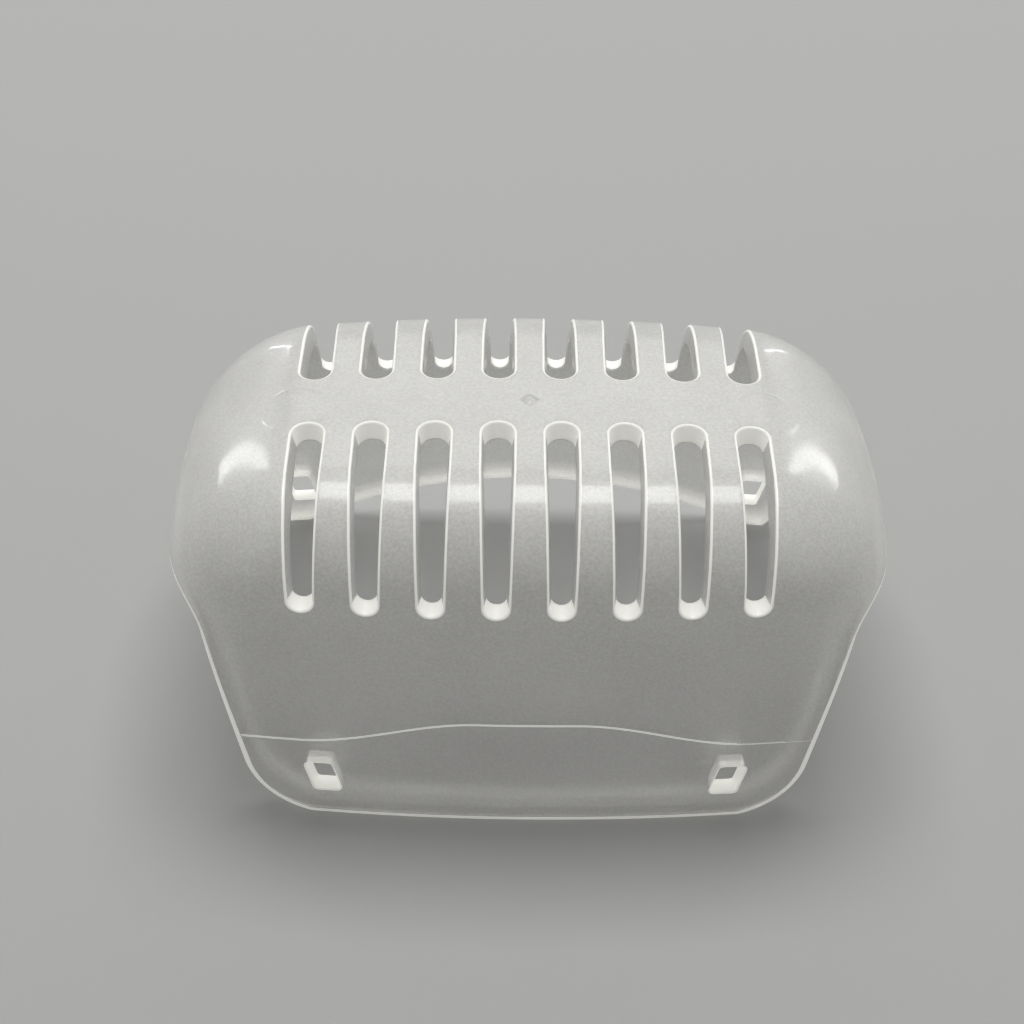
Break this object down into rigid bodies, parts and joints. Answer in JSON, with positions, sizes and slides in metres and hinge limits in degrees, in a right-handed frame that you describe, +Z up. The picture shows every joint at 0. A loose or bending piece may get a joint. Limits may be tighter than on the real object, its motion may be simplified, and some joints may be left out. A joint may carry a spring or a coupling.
{
  "type": "shaver head cap",
  "caption": "Slotted translucent protective cap that clips over the cutting head of a foil shaver or trimmer, open below, with an arched back and catch windows.",
  "frame": {"origin": "middle of the cap's box, on the plane it stands on: the front rim and the two back tabs", "axes": "+X across the cap to its right, +Y towards its back, +Z up, with the open side down"},
  "size_m": [0.0706, 0.045, 0.0357],
  "materials": {
    "cap": "frosted translucent"
  },
  "bodies": {
    "root": {"head_cap": "cap"}
  },
  "joints": []
}
